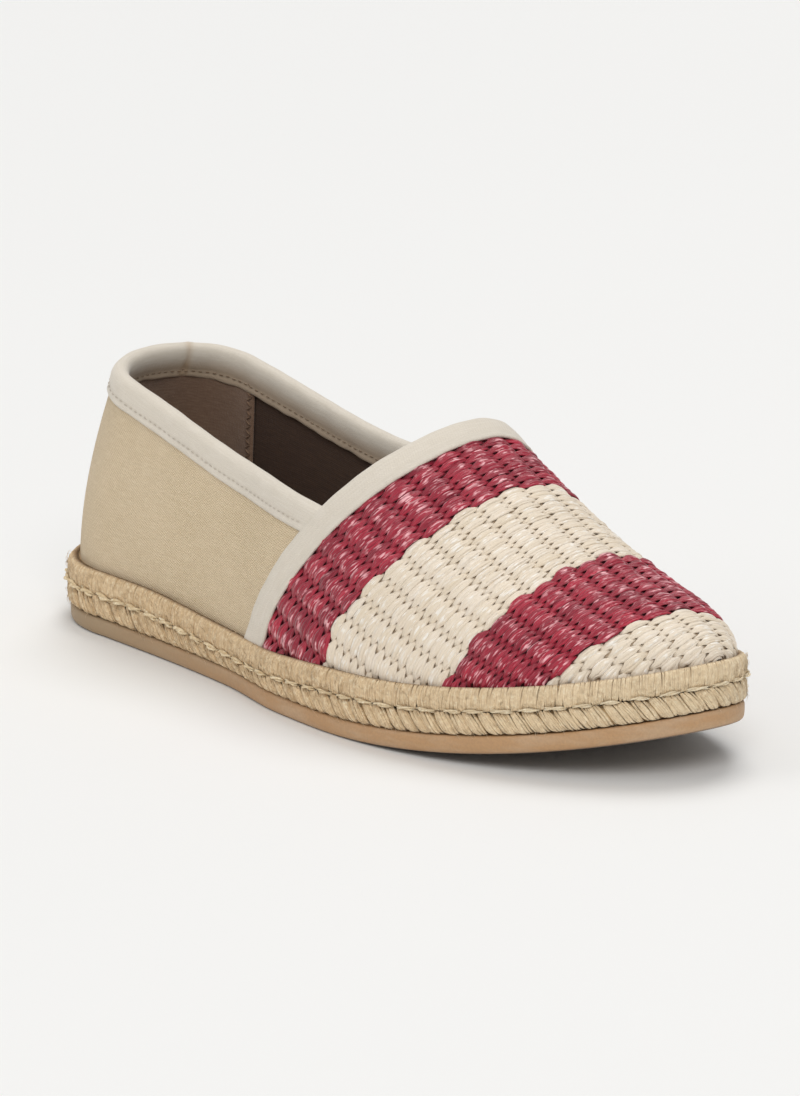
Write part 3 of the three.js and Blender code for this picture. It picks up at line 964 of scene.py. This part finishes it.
class ESPADRILLE_OT_weave(bpy.types.Operator):
    """Weaves the vamp: ribbons that float over every second rib, in four stripes"""

    bl_idname = "espadrille.weave"
    bl_label = "Woven vamp"

    def execute(self, context):
        settings = context.scene.espadrille_weave
        berry, cream = tuple(settings.berry), tuple(settings.cream)
        ahead, ribs = self.floats(settings)
        stripe = np.searchsorted(np.array(STRIPE_ENDS), ahead)
        # Each ribbon's third colour is its painted highlight, painted near the float crests.
        red = ribbon_finish("berry ribbon", dye(122, 18, 40), berry, dye(250, 186, 192),
                            0.55, 0.36, 0.2)
        pale = ribbon_finish("cream ribbon", dye(230, 214, 190), cream, dye(252, 246, 236),
                             0.56, 0.70, 0.2)
        for name, material, which, relief, fullness, seed in (
            ("vamp_weave_berry", red, stripe % 2 == 0, 1.2, 1.03, 21),
            ("vamp_weave_cream", pale, stripe % 2 == 1, 0.80, 1.16, 22),
        ):
            self.ribbons(settings, name, material, ahead[which], ribs[which], relief, fullness,
                         seed)
        self.backing()
        return {"FINISHED"}

    @staticmethod
    def floats(settings):
        """Where each float crosses its rib: its distance ahead and its rib."""
        rows = [FIRST_ROW]
        while rows[-1] < vamp_sheet.first[-1]:
            rows.append(rows[-1] + row_spacing(settings, rows[-1]))
        rows = np.array(rows)
        ribs = np.arange(-RIBS_EACH_SIDE, RIBS_EACH_SIDE + 1)
        grids = np.meshgrid(np.arange(len(rows)), ribs, indexing="ij")
        row, rib = (grid.ravel() for grid in grids)
        over = (row + rib) % 2 == 0
        ahead, rib = rows[row[over]], rib[over]
        sideways = rib_centre(settings, ahead, rib)
        limit = np.where(sideways < 0, vamp_half_girth(ahead, -1), vamp_half_girth(ahead, 1))
        hidden = ahead < UNDER_TAPE * tape_widening(sideways)
        kept = (np.abs(sideways) < limit + 4.0) & ~hidden
        return ahead[kept], rib[kept]

    @staticmethod
    def ribbons(settings, name, material, ahead, ribs, relief, fullness, seed):
        """Each float is three strands side by side, gathered where it dips into the grooves."""
        rng = np.random.default_rng(seed)
        floats = len(ahead)
        count = floats * STRANDS
        piece, n, s, across = new_strips(name, 12, 6, count)
        float_of, strand = n // STRANDS, n % STRANDS - (STRANDS - 1) / 2
        width = rib_width(settings, ahead)[float_of]
        spacing = np.array([row_spacing(settings, a) for a in ahead])[float_of]
        relief = relief * settings.rib_relief * 1000
        around, outward = section_loop(across)
        tuck = 1.9
        sideways = (s - 0.5) * (width + 2 * tuck)
        from_crest = np.abs(sideways) / (width / 2)
        arch = np.cos(np.pi / 2 * np.minimum(from_crest, 1.0)) ** 0.95
        past = np.maximum(np.abs(sideways) - width / 2, 0)
        sink = 0.24 * past + 0.24 * past ** 2
        close = np.where((s < 0.001) | (s > 0.999), 0.0, 1.0)
        # Full width over the crest, half of it in the groove, where the next rib's floats come up.
        full = ease((width / 2 - np.abs(sideways) - 0.5) / 1.5)
        gather = (0.27 + 0.31 * full) * spacing
        proud = rng.normal(0, 0.05, floats)[float_of] + rng.normal(0, 0.05, count)[n]
        proud -= 0.09 * strand ** 2
        lift = -0.55 + relief * arch - sink + proud * (0.3 + arch) + 0.30 * close * outward
        slant = rng.normal(-0.30, 0.20, floats)[float_of] + rng.normal(0, 0.08, count)[n]
        sway = rng.normal(0.0, 0.07, floats)[float_of]
        bow = rng.normal(0.0, 0.06, count)[n] * np.sin(np.pi * s)
        girth = rng.uniform(0.9, 1.12, count)[n]
        half = (0.31 + 0.19 * full) * spacing * girth * fullness
        lengthwise = (ahead[float_of] + sway + bow + slant * (s - 0.5) + strand * gather
                      + half * close * around)
        centre = rib_centre(settings, ahead, ribs)[float_of]
        points = vamp_sheet.at(lengthwise, centre + sideways, lift)
        shade = rng.normal(0, 0.15, floats)[float_of]
        tone = np.clip(rng.normal(0.60, 0.12, count)[n] + shade, 0.0, 1.0)
        lay(piece, points, pattern=(sideways, (strand + across) * 1.6, float_of * 4.19), tone=tone)
        weld(piece)
        finish_piece(piece, material, "upper_fabric", "upper")

    @staticmethod
    def backing():
        """A sheet behind the weave, seen only through its slits, coloured darker than the ribbons
        as painted shade in the slits.
        """
        piece, _, along, around = new_strips("vamp_backing_slit_shade", 60, 90)
        ahead = 2.0 + along * (vamp_sheet.first[-1] - 2.0)
        sideways = across_vamp(ahead, around, 5)
        points = vamp_sheet.at(ahead, sideways, -0.8)
        red = np.searchsorted(STRIPE_ENDS, ahead) % 2 == 0
        lay(piece, points, pattern=(ahead, sideways, 0 * ahead), tone=np.where(red, 0.0, 1.0))
        thicken(piece, 0.4)
        f = Finish("slit shade backing", Roughness=0.95)
        # Painted shade: dark berry behind the red stripes, a darker cream behind the pale ones,
        # and darker threads, so the slits read as shaded.
        colour = f.mix(f.kept("tone", "Fac"), dye(96, 18, 34), dye(214, 192, 164))
        threads = f.noise(f.stretched(f.kept("pattern", "Vector"), 2.0, 1.0, 1.0), 1.0, 3.0)
        dark = f.spread(threads, 0.3, 0.7, 0.0, 0.35)
        f.into("Base Color", f.mix(dark, colour, dye(70, 44, 36)))
        f.into("Normal", f.bump(threads, 0.0002))
        finish_piece(piece, f.material, "upper_fabric", "upper")


def quarter_grid(name, steps, rows, lowest, lift, top=1.0):
    """A sheet over both quarters, from below the feather line up to a share of the rim."""
    piece, _, across, up = new_strips(name, steps, rows)
    place = 1 - 2 * across
    along, side = station_from(place)
    level = lowest + up * (top - lowest)
    angle = np.maximum(level, 0) * rim_angle(along, side)
    points = last_point(along, side, angle)
    step = 1e-3
    ahead = last_point(*station_from(place + step), angle)
    higher = last_point(along, side, angle + step)
    normal = np.cross(ahead - points, higher - points) * -1
    normal /= np.maximum(np.linalg.norm(normal, axis=1, keepdims=True), 1e-12)
    points = points + normal * np.broadcast_to(lift(place, level), place.shape)[:, None]
    points[:, 2] += np.minimum(level, 0) * 60
    return piece, place, level, points


def behind_vamp(points, margin):
    """Which points lie behind the vamp's edge, or no further ahead of it than a margin."""
    edge = vamp_edge_x(points[:, 2]) + VAMP_EDGE_SKEW * points[:, 1]
    return points[:, 0] < edge + margin


def cloth_waves(place, level):
    """Soft hollows and swells of the quarters, in millimetres."""
    waves = np.zeros_like(place)
    for where, height, wide, tall, depth in (
        (-0.80, 0.45, 0.06, 0.35, 0.35), (-0.66, 0.25, 0.05, 0.25, -0.30),
        (-0.50, 0.70, 0.08, 0.20, -0.35), (-0.30, 0.30, 0.07, 0.30, 0.30),
        (0.25, 0.40, 0.07, 0.30, -0.30), (0.52, 0.55, 0.08, 0.25, 0.35),
        (0.74, 0.35, 0.06, 0.30, -0.30), (-0.05, 0.55, 0.08, 0.30, -0.25),
    ):
        waves += depth * np.exp(-((place - where) / wide) ** 2 - ((level - height) / tall) ** 2)
    return waves


def heel_seam(place):
    """1 on the seam that joins the two quarters at the back of the heel, 0 away from it."""
    return np.exp(-(place / 0.008) ** 2)


class ESPADRILLE_OT_quarters(bpy.types.Operator):
    """Cuts the canvas quarters, their lining, the heel patch and its sewing"""

    bl_idname = "espadrille.quarters"
    bl_label = "Quarters and lining"

    def execute(self, context):
        settings = context.scene.espadrille_upper
        canvas = cloth_finish("canvas", tuple(settings.canvas), dye(182, 160, 120),
                              dye(242, 226, 198), 0.95, 0.0003, 0.5, slubs=0.35,
                              inside=dye(150, 126, 92))
        lining = cloth_finish("lining twill", tuple(settings.lining), dye(58, 39, 25),
                              dye(96, 71, 50), 0.7, 0.0002, 1.0)
        patch = cloth_finish("heel patch cloth", tuple(settings.patch), dye(118, 90, 72),
                             dye(170, 140, 116), 0.7, 0.0002, 0.0, roughness=0.8, sheen=0.4)
        piece, place, level, points = quarter_grid(
            "quarter_canvas", 220, 36, -0.10,
            lambda p, h: cloth_waves(p, h) - 0.35 * heel_seam(p))
        lay(piece, points, pattern=(place * QUARTER_RUN, level * QUARTER_RISE, 0 * place),
            tone=0.6 * heel_seam(place))
        trim(piece, behind_vamp(points, 4.5))
        thicken(piece, 0.9)
        finish_piece(piece, canvas, "upper_fabric", "upper")

        piece, place, level, points = quarter_grid(
            "quarter_lining", 160, 30, -0.04, lambda p, h: -WALL + 0 * p, top=0.995)
        lay(piece, points, pattern=(place * QUARTER_RUN, level * QUARTER_RISE, 0 * place))
        trim(piece, behind_vamp(points, 5.0))
        thicken(piece, -0.5)
        finish_piece(piece, lining, "upper_fabric", "upper")

        piece, _, along, around = new_strips("vamp_lining", 50, 90)
        ahead = 1.0 + along * (vamp_sheet.first[-1] - 1.0)
        sideways = across_vamp(ahead, around, 2)
        points = vamp_sheet.at(ahead, sideways, -1.75)
        # The last row is drawn together into a cap behind the toe tip.
        points[along > 0.999] = points[along > 0.999].mean(axis=0)
        lay(piece, points, pattern=(ahead, sideways, 0 * ahead))
        weld(piece)
        thicken(piece, 0.5)
        finish_piece(piece, lining, "upper_fabric", "upper")

        thread = cloth_finish("patch thread", dye(150, 122, 98), dye(118, 90, 70),
                              dye(176, 150, 124), 0.4, 0.0001, 0.0)
        self.heel_patch(patch, thread)
        return {"FINISHED"}

    @staticmethod
    def heel_patch(material, thread):
        """The patch inside the heel, with a zigzag row down each front edge."""
        patch_x = 36.0
        reach = math.sqrt(patch_x / SHOE_LENGTH / QUARTER_REACH)

        def on_patch(place, level, above):
            along, side = station_from(place)
            points = last_point(along, side, level * rim_angle(along, side))
            outward = points - (patch_x, 4.0, 0.0)
            outward[:, 2] = 0
            outward /= np.linalg.norm(outward, axis=1, keepdims=True)
            edge = ease((1 - np.abs(place) / reach) / 0.03)
            return points - outward * (WALL + 0.75 + 0.35 * edge + above)[:, None]

        piece, _, across, up = new_strips("heel_patch", 90, 24)
        place, level = reach * (1 - 2 * across), 0.97 * up
        lay(piece, on_patch(place, level, 0 * place),
            pattern=(place * QUARTER_RUN, level * QUARTER_RISE, 0 * place))
        thicken(piece, -0.3)
        finish_piece(piece, material, "upper_fabric", "upper")

        legs = 36
        piece, n, s, across = new_strips("heel_patch_stitches", 4, 5, 2 * legs)
        around, outward = section_loop(across)
        leg = n % legs
        close = 0.24 * closing(s, 0.4)
        swing = np.where(leg % 2 == 0, s, 1 - s)
        place = np.where(n < legs, -1, 1) * (reach - 0.022 + 0.017 * swing)
        level = 0.02 + 0.93 * (leg + s) / legs + close * around / QUARTER_RISE
        points = on_patch(place, level, 0.27 + close * outward)
        lay(piece, points, pattern=(s * 2.0, across, n * 0.7))
        weld(piece)
        finish_piece(piece, thread, "upper_fabric", "upper")


class ESPADRILLE_OT_tapes(bpy.types.Operator):
    """Folds the tape round the collar and along the vamp's edge, and sews the collar's"""

    bl_idname = "espadrille.tapes"
    bl_label = "Tapes"

    def execute(self, context):
        settings = context.scene.espadrille_upper
        # The collar tape and its thread take a darker inside colour by their tone: painted shade
        # inside the shoe.
        tape, collar_tape = (
            cloth_finish(name, tuple(settings.tape), dye(206, 197, 183), dye(238, 232, 223),
                         0.55, 0.0001, 0.0, roughness=0.85, sheen=0.25, slubs=0.3, inside=inside)
            for name, inside in (("cotton tape", None), ("collar tape", dye(190, 166, 138))))
        thread = cloth_finish("tape thread", dye(214, 204, 188), dye(170, 158, 142),
                              dye(230, 222, 210), 0.4, 0.0001, 0.0, inside=dye(138, 116, 94))
        self.collar(settings, collar_tape)
        self.vamp(settings, tape)
        self.stitches(settings, thread)
        return {"FINISHED"}

    @staticmethod
    def ends(down):
        """Where the collar tape stops at the vamp, on the outer and inner side."""
        rim = collar_sheet.points[:, 5]
        gap = rim[:, 0] - vamp_edge_x(rim[:, 2]) - VAMP_EDGE_SKEW * rim[:, 1]
        half = len(rim) // 2
        start = np.interp(0.0, -gap[:half], collar_sheet.first[:half])
        stop = np.interp(0.0, gap[half:], collar_sheet.first[half:])
        set_back = 0.66 * np.maximum(down, 0) - 2.5
        return start + set_back, stop - set_back

    def collar(self, settings, material):
        width = settings.collar_width * 1000
        # down the outside, over the rim, down the inside, and back inside the fold
        loop = np.array([
            (width, 0.25), (width + 0.1, 0.7), (width - 0.5, 1.05), (width - 1.8, 1.0),
            (width - 2.4, 0.82), (width - 3.2, 1.05), (3.0, 1.2), (2.0, 1.25), (1.1, 1.2),
            (0.2, 1.0), (-0.8, 0.5), (-1.4, -0.3), (-1.6, -1.2), (-1.35, -2.2), (-0.6, -3.0),
            (0.6, -3.5), (2.0, -3.75), (3.8, -3.65), (5.4, -3.5), (6.4, -3.2), (7.3, -3.4),
            (8.3, -3.4), (8.8, -3.1), (8.7, -2.75), (5.5, -2.6), (2.0, -2.5), (0.4, -2.2),
            (0.25, -1.0), (0.5, -0.1), (2.5, 0.15), (width - 1.5, 0.15),
        ])
        piece, _, along, across = new_strips("collar_tape", 300, len(loop))
        down, lift = round_profile(loop, across)
        start, stop = self.ends(down)
        run = start + along * (stop - start)
        inside = lift < -2.3
        puff = 0.10 * np.sin(run * 0.55) + 0.08 * np.sin(run * 0.23 + 1.0)
        # The tape's two ends meet on the inner side, a little ahead of the heel.
        rim = collar_sheet.points[:, 5]
        half = len(rim) // 2
        join = np.interp(TAPE_JOIN_X, rim[half:, 0], collar_sheet.first[half:])
        sunk = np.exp(-((run - join) / 1.1) ** 2)
        lift = lift - 0.4 * sunk * np.sign(lift)
        hem = 0.10 * np.sin(run * 0.8) + 0.16 * np.sin(run * 0.31)
        down = down + np.where(inside & (down > 6), hem, 0)
        points = collar_sheet.at(run, down, lift + puff * np.where(lift > 0, 0.5, -0.8))
        # Painted shade: the inner face darkens deeper into the shoe, and the tape darkens in the
        # dip at the join, more inside than out.
        painted_shade = np.where(lift < 0, 0.8 * ease((down - 1.0) / 5.0) + 0.5 * sunk, 0.2 * sunk)
        lay(piece, points, pattern=(run, across * 34.0, 0 * run), tone=painted_shade)
        weld(piece, fill=True)
        finish_piece(piece, material, "tape", "collar_binding")

    @staticmethod
    def vamp(settings, material):
        width = settings.vamp_width * 1000
        # share of the width ahead of the throat, and lift, round the folded tape
        loop = np.array([
            (1.0, 0.35), (1.01, 0.85), (0.95, 1.15), (0.84, 1.1), (0.76, 1.05), (0.66, 1.2),
            (0.5, 1.3), (0.35, 1.35), (0.2, 1.35), (0.08, 1.25), (-0.02, 0.8), (-0.08, 0.1),
            (-0.10, -0.8), (-0.07, -1.7), (0.0, -2.5), (0.12, -3.0), (0.3, -3.2), (0.55, -3.1),
            (0.85, -3.0), (0.95, -2.8), (0.93, -2.4), (0.5, -2.3), (0.1, -2.1), (0.05, -1.0),
            (0.1, 0.0), (0.5, 0.1), (0.8, 0.1),
        ])
        piece, _, around, across = new_strips("vamp_tape", 220, len(loop))
        forward, lift = round_profile(loop, across)
        sideways = across_vamp(0.0, around, 3.0)
        # Below the collar the tape lies flat on the quarter, with nothing folded behind it.
        corner = np.where(sideways < 0, 54.0, 44.0)
        flat = ease((np.abs(sideways) - corner) / 5.0)
        lift = np.where(lift < 0.3, lift * (1 - flat) + (0.15 + 0.02 * lift) * flat, lift)
        forward = np.where(forward < 0, forward * (1 - flat), forward)
        ahead = forward * width * tape_widening(sideways)
        ripple = 0.07 * np.sin(sideways * 0.33) + 0.05 * np.sin(sideways * 0.81 + 2.0)
        points = vamp_sheet.at(ahead, sideways, lift + ripple * (lift > 0.3))
        lay(piece, points, pattern=(sideways, across * 30.0, 0 * sideways))
        weld(piece, fill=True)
        finish_piece(piece, material, "tape", "vamp_binding")

    def stitches(self, settings, material):
        """Small stitches sunk in the collar's tape, in a row outside and a row inside."""
        rng = np.random.default_rng(31)
        pitch = settings.stitch_spacing * 1000
        width = settings.collar_width * 1000
        start, stop = (float(v) for v in self.ends(np.array(8.0)))
        row = np.arange(start + 2, stop - 2, pitch)
        runs = np.concatenate([row, row])
        outside = np.repeat([True, False], len(row))
        count = len(runs)
        piece, n, s, across = new_strips("collar_stitches", 5, 5, count)
        around, outward = section_loop(across)
        close = closing(s, 0.4)
        out = outside[n]
        down = (np.where(out, width - 2.1, 6.4) + rng.normal(0, 0.06, count)[n]
                + 0.16 * close * around)
        base = np.where(out, 0.98, -3.42)
        lift = base + np.where(out, 1, -1) * (0.12 * np.sin(np.pi * s) + 0.14 * close * outward)
        points = collar_sheet.at(runs[n] + 1.5 * (s - 0.5), down, lift)
        # The inside row takes the thread's darker inside colour: painted shade inside the shoe.
        lay(piece, points, pattern=(s * 1.5, across, n * 0.7), tone=np.where(out, 0.0, 1.0))
        weld(piece)
        finish_piece(piece, material, "tape", "collar_binding")


# ---- Stage -------------------------------------------------------------------------------------

# Where the camera stands: degrees round from the shoe's outer side towards its toe, degrees up,
# and metres from a point on the shoe's axis at the aim height. Then the way it looks, in degrees
# round and down, and its sensor and lens in millimetres before the framing.
CAMERA_TURN = 49.276
CAMERA_RISE = 15.209
CAMERA_DISTANCE = 2.77046
CAMERA_AIM_HEIGHT = 0.020
GAZE_TURN = 49.22957
GAZE_DOWN = 14.81595
SENSOR_WIDTH = 36.0
LENS = 266.355


class ESPADRILLE_OT_stage(bpy.types.Operator):
    """Sets the pale floor, the soft studio light and the camera"""

    bl_idname = "espadrille.stage"
    bl_label = "Stage"

    def execute(self, context):
        settings = context.scene.espadrille_stage
        self.floor(settings)
        self.lights(context, settings)
        self.camera(context, settings)
        return {"FINISHED"}

    @staticmethod
    def floor(settings):
        bpy.ops.object.select_all(action="DESELECT")
        bpy.ops.mesh.primitive_plane_add(size=24.0, location=(0, 0, 0))
        floor = bpy.context.active_object
        floor.name = "floor"
        f = Finish("matt floor", Roughness=0.75)
        clouds = f.noise(f.object_place(), 1.5, 2.0)
        tint = tuple(settings.floor)
        f.into("Base Color", f.mix(f.spread(clouds, 0.3, 0.7, 0.0, 1.0), tint,
                                   tuple(0.985 * c for c in tint)))
        floor.data.materials.append(f.material)

    @staticmethod
    def lights(context, settings):
        world = bpy.data.worlds.new("soft surround")
        world.use_nodes = True
        surround = world.node_tree.nodes["Background"]
        surround.inputs["Color"].default_value = (1.0, 1.0, 1.0, 1.0)
        surround.inputs["Strength"].default_value = 0.43
        context.scene.world = world
        for name, place, size, power, tint in (
            ("key", (-1.1, 1.9, 5.2), 3.2, settings.key_power, (1.0, 0.995, 0.985)),
            ("front fill", (3.9, -2.9, 4.6), 3.6, settings.key_power * 1.25, (1.0, 0.985, 0.965)),
            ("side fill", (-3.0, -5.0, 3.6), 4.0, settings.key_power * 0.5, (1.0, 0.985, 0.965)),
        ):
            bpy.ops.object.light_add(type="AREA", location=place)
            lamp = bpy.context.active_object
            lamp.name = lamp.data.name = name
            lamp.data.shape = "DISK"
            lamp.data.size = size
            lamp.data.energy = power
            lamp.data.color = tint
            lamp.rotation_euler = Vector(place).to_track_quat("Z", "Y").to_euler()
        context.scene.view_settings.view_transform = "Standard"

    @staticmethod
    def camera(context, settings):
        turn, rise = math.radians(CAMERA_TURN), math.radians(CAMERA_RISE)
        yaw, pitch = math.radians(GAZE_TURN), math.radians(GAZE_DOWN)
        back = np.array([math.sin(turn) * math.cos(rise), -math.cos(turn) * math.cos(rise),
                         math.sin(rise)])
        place = np.array([0.0, AXIS_OFFSET / 1000, CAMERA_AIM_HEIGHT]) + CAMERA_DISTANCE * back
        ahead = np.array([-math.sin(yaw) * math.cos(pitch), math.cos(yaw) * math.cos(pitch),
                          -math.sin(pitch)])
        right = np.array([math.cos(yaw), math.sin(yaw), 0.0])
        above = np.cross(right, ahead)
        bpy.ops.object.camera_add(location=tuple(place))
        camera = bpy.context.active_object
        camera.name = "camera"
        camera.matrix_world = Matrix((
            (right[0], above[0], -ahead[0], place[0]),
            (right[1], above[1], -ahead[1], place[1]),
            (right[2], above[2], -ahead[2], place[2]),
            (0, 0, 0, 1),
        ))
        camera.data.sensor_fit = "HORIZONTAL"
        camera.data.sensor_width = SENSOR_WIDTH
        camera.data.lens = LENS * settings.framing
        camera.data.clip_end = 50.0
        context.scene.camera = camera


class ESPADRILLE_PT_panel(bpy.types.Panel):
    """Lists the pieces of the shoe"""

    bl_idname = "ESPADRILLE_PT_panel"
    bl_label = "Espadrille"
    bl_space_type = "VIEW_3D"
    bl_region_type = "UI"
    bl_category = "Espadrille"

    def draw(self, context):
        scene = context.scene
        for heading, group in (
            ("Weave", scene.espadrille_weave), ("Sole", scene.espadrille_sole),
            ("Upper", scene.espadrille_upper), ("Stage", scene.espadrille_stage),
        ):
            box = self.layout.box()
            box.label(text=heading)
            for name in group.__annotations__:
                box.prop(group, name)
        for operator in OPERATORS:
            self.layout.operator(operator.bl_idname)


SETTINGS = {
    "espadrille_weave": WeaveSettings,
    "espadrille_sole": SoleSettings,
    "espadrille_upper": UpperSettings,
    "espadrille_stage": StageSettings,
}
OPERATORS = (
    ESPADRILLE_OT_outsole, ESPADRILLE_OT_jute, ESPADRILLE_OT_insole, ESPADRILLE_OT_weave,
    ESPADRILLE_OT_quarters, ESPADRILLE_OT_tapes, ESPADRILLE_OT_stage,
)


def register():
    for name, group in SETTINGS.items():
        bpy.utils.register_class(group)
        setattr(bpy.types.Scene, name, PointerProperty(type=group))
    for operator in OPERATORS:
        bpy.utils.register_class(operator)
    bpy.utils.register_class(ESPADRILLE_PT_panel)


def unregister():
    bpy.utils.unregister_class(ESPADRILLE_PT_panel)
    for operator in reversed(OPERATORS):
        bpy.utils.unregister_class(operator)
    for name, group in SETTINGS.items():
        delattr(bpy.types.Scene, name)
        bpy.utils.unregister_class(group)


def main():
    register()
    for name in ("outsole", "jute", "insole", "weave", "quarters", "tapes", "stage"):
        getattr(bpy.ops.espadrille, name)()


if __name__ == "__main__":
    main()
